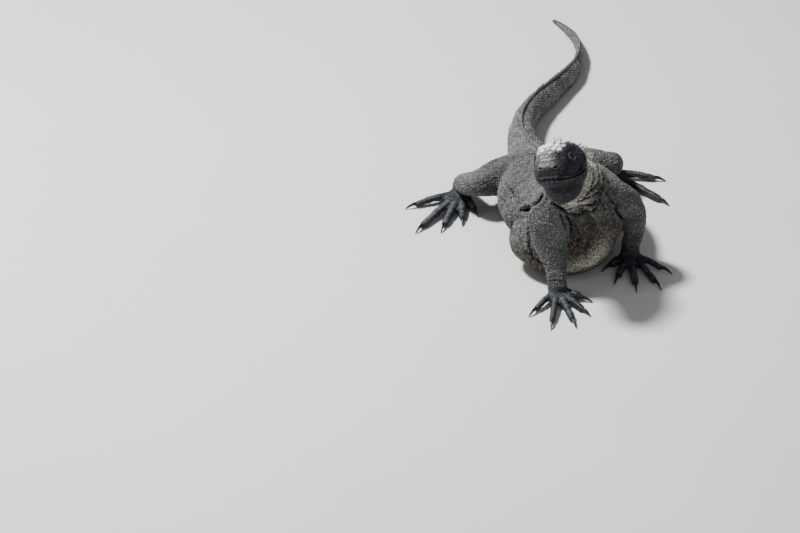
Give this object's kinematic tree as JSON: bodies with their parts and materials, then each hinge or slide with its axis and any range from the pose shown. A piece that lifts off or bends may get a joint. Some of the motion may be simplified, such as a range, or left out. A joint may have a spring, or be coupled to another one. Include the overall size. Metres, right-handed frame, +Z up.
{
  "type": "marine iguana",
  "caption": "Life-size still model of a marine iguana raised on its forelegs, with a spiny crest, clawed feet and a long flattened tail.",
  "frame": {"origin": "under the middle of the whole animal, on the level that it rests on", "axes": "+Z up; the snout points to -Y and the tail to +Y; the animal's left side is +X"},
  "size_m": [0.3038, 0.7262, 0.194],
  "materials": {
    "skin": "matte scaly skin, dark slate grey with pale speckles, brown and ochre on the belly",
    "skin_dark": "near-black blue-grey skin of the muzzle, hands and feet, with white salt crust on the crown",
    "claw": "smooth dark horn, slightly glossy",
    "spine": "pale ivory horn of the crest, darker towards the root",
    "eye": "wet dark brown eye with a round black pupil"
  },
  "bodies": {
    "root": {"head": "skin_dark", "lower_jaw": "skin_dark", "eye_right": "eye", "eye_left": "eye", "neck": "skin", "torso_front": "skin", "torso_rear": "skin", "tail_1": "skin", "tail_2": "skin", "tail_3": "skin", "tail_4": "skin", "tail_5": "skin", "upper_arm_right": "skin", "forearm_right": "skin", "hand_right": "skin_dark", "upper_arm_left": "skin", "forearm_left": "skin", "hand_left": "skin_dark", "thigh_right": "skin", "shank_right": "skin", "foot_right": "skin_dark", "thigh_left": "skin", "shank_left": "skin", "foot_left": "skin_dark"}
  },
  "joints": []
}
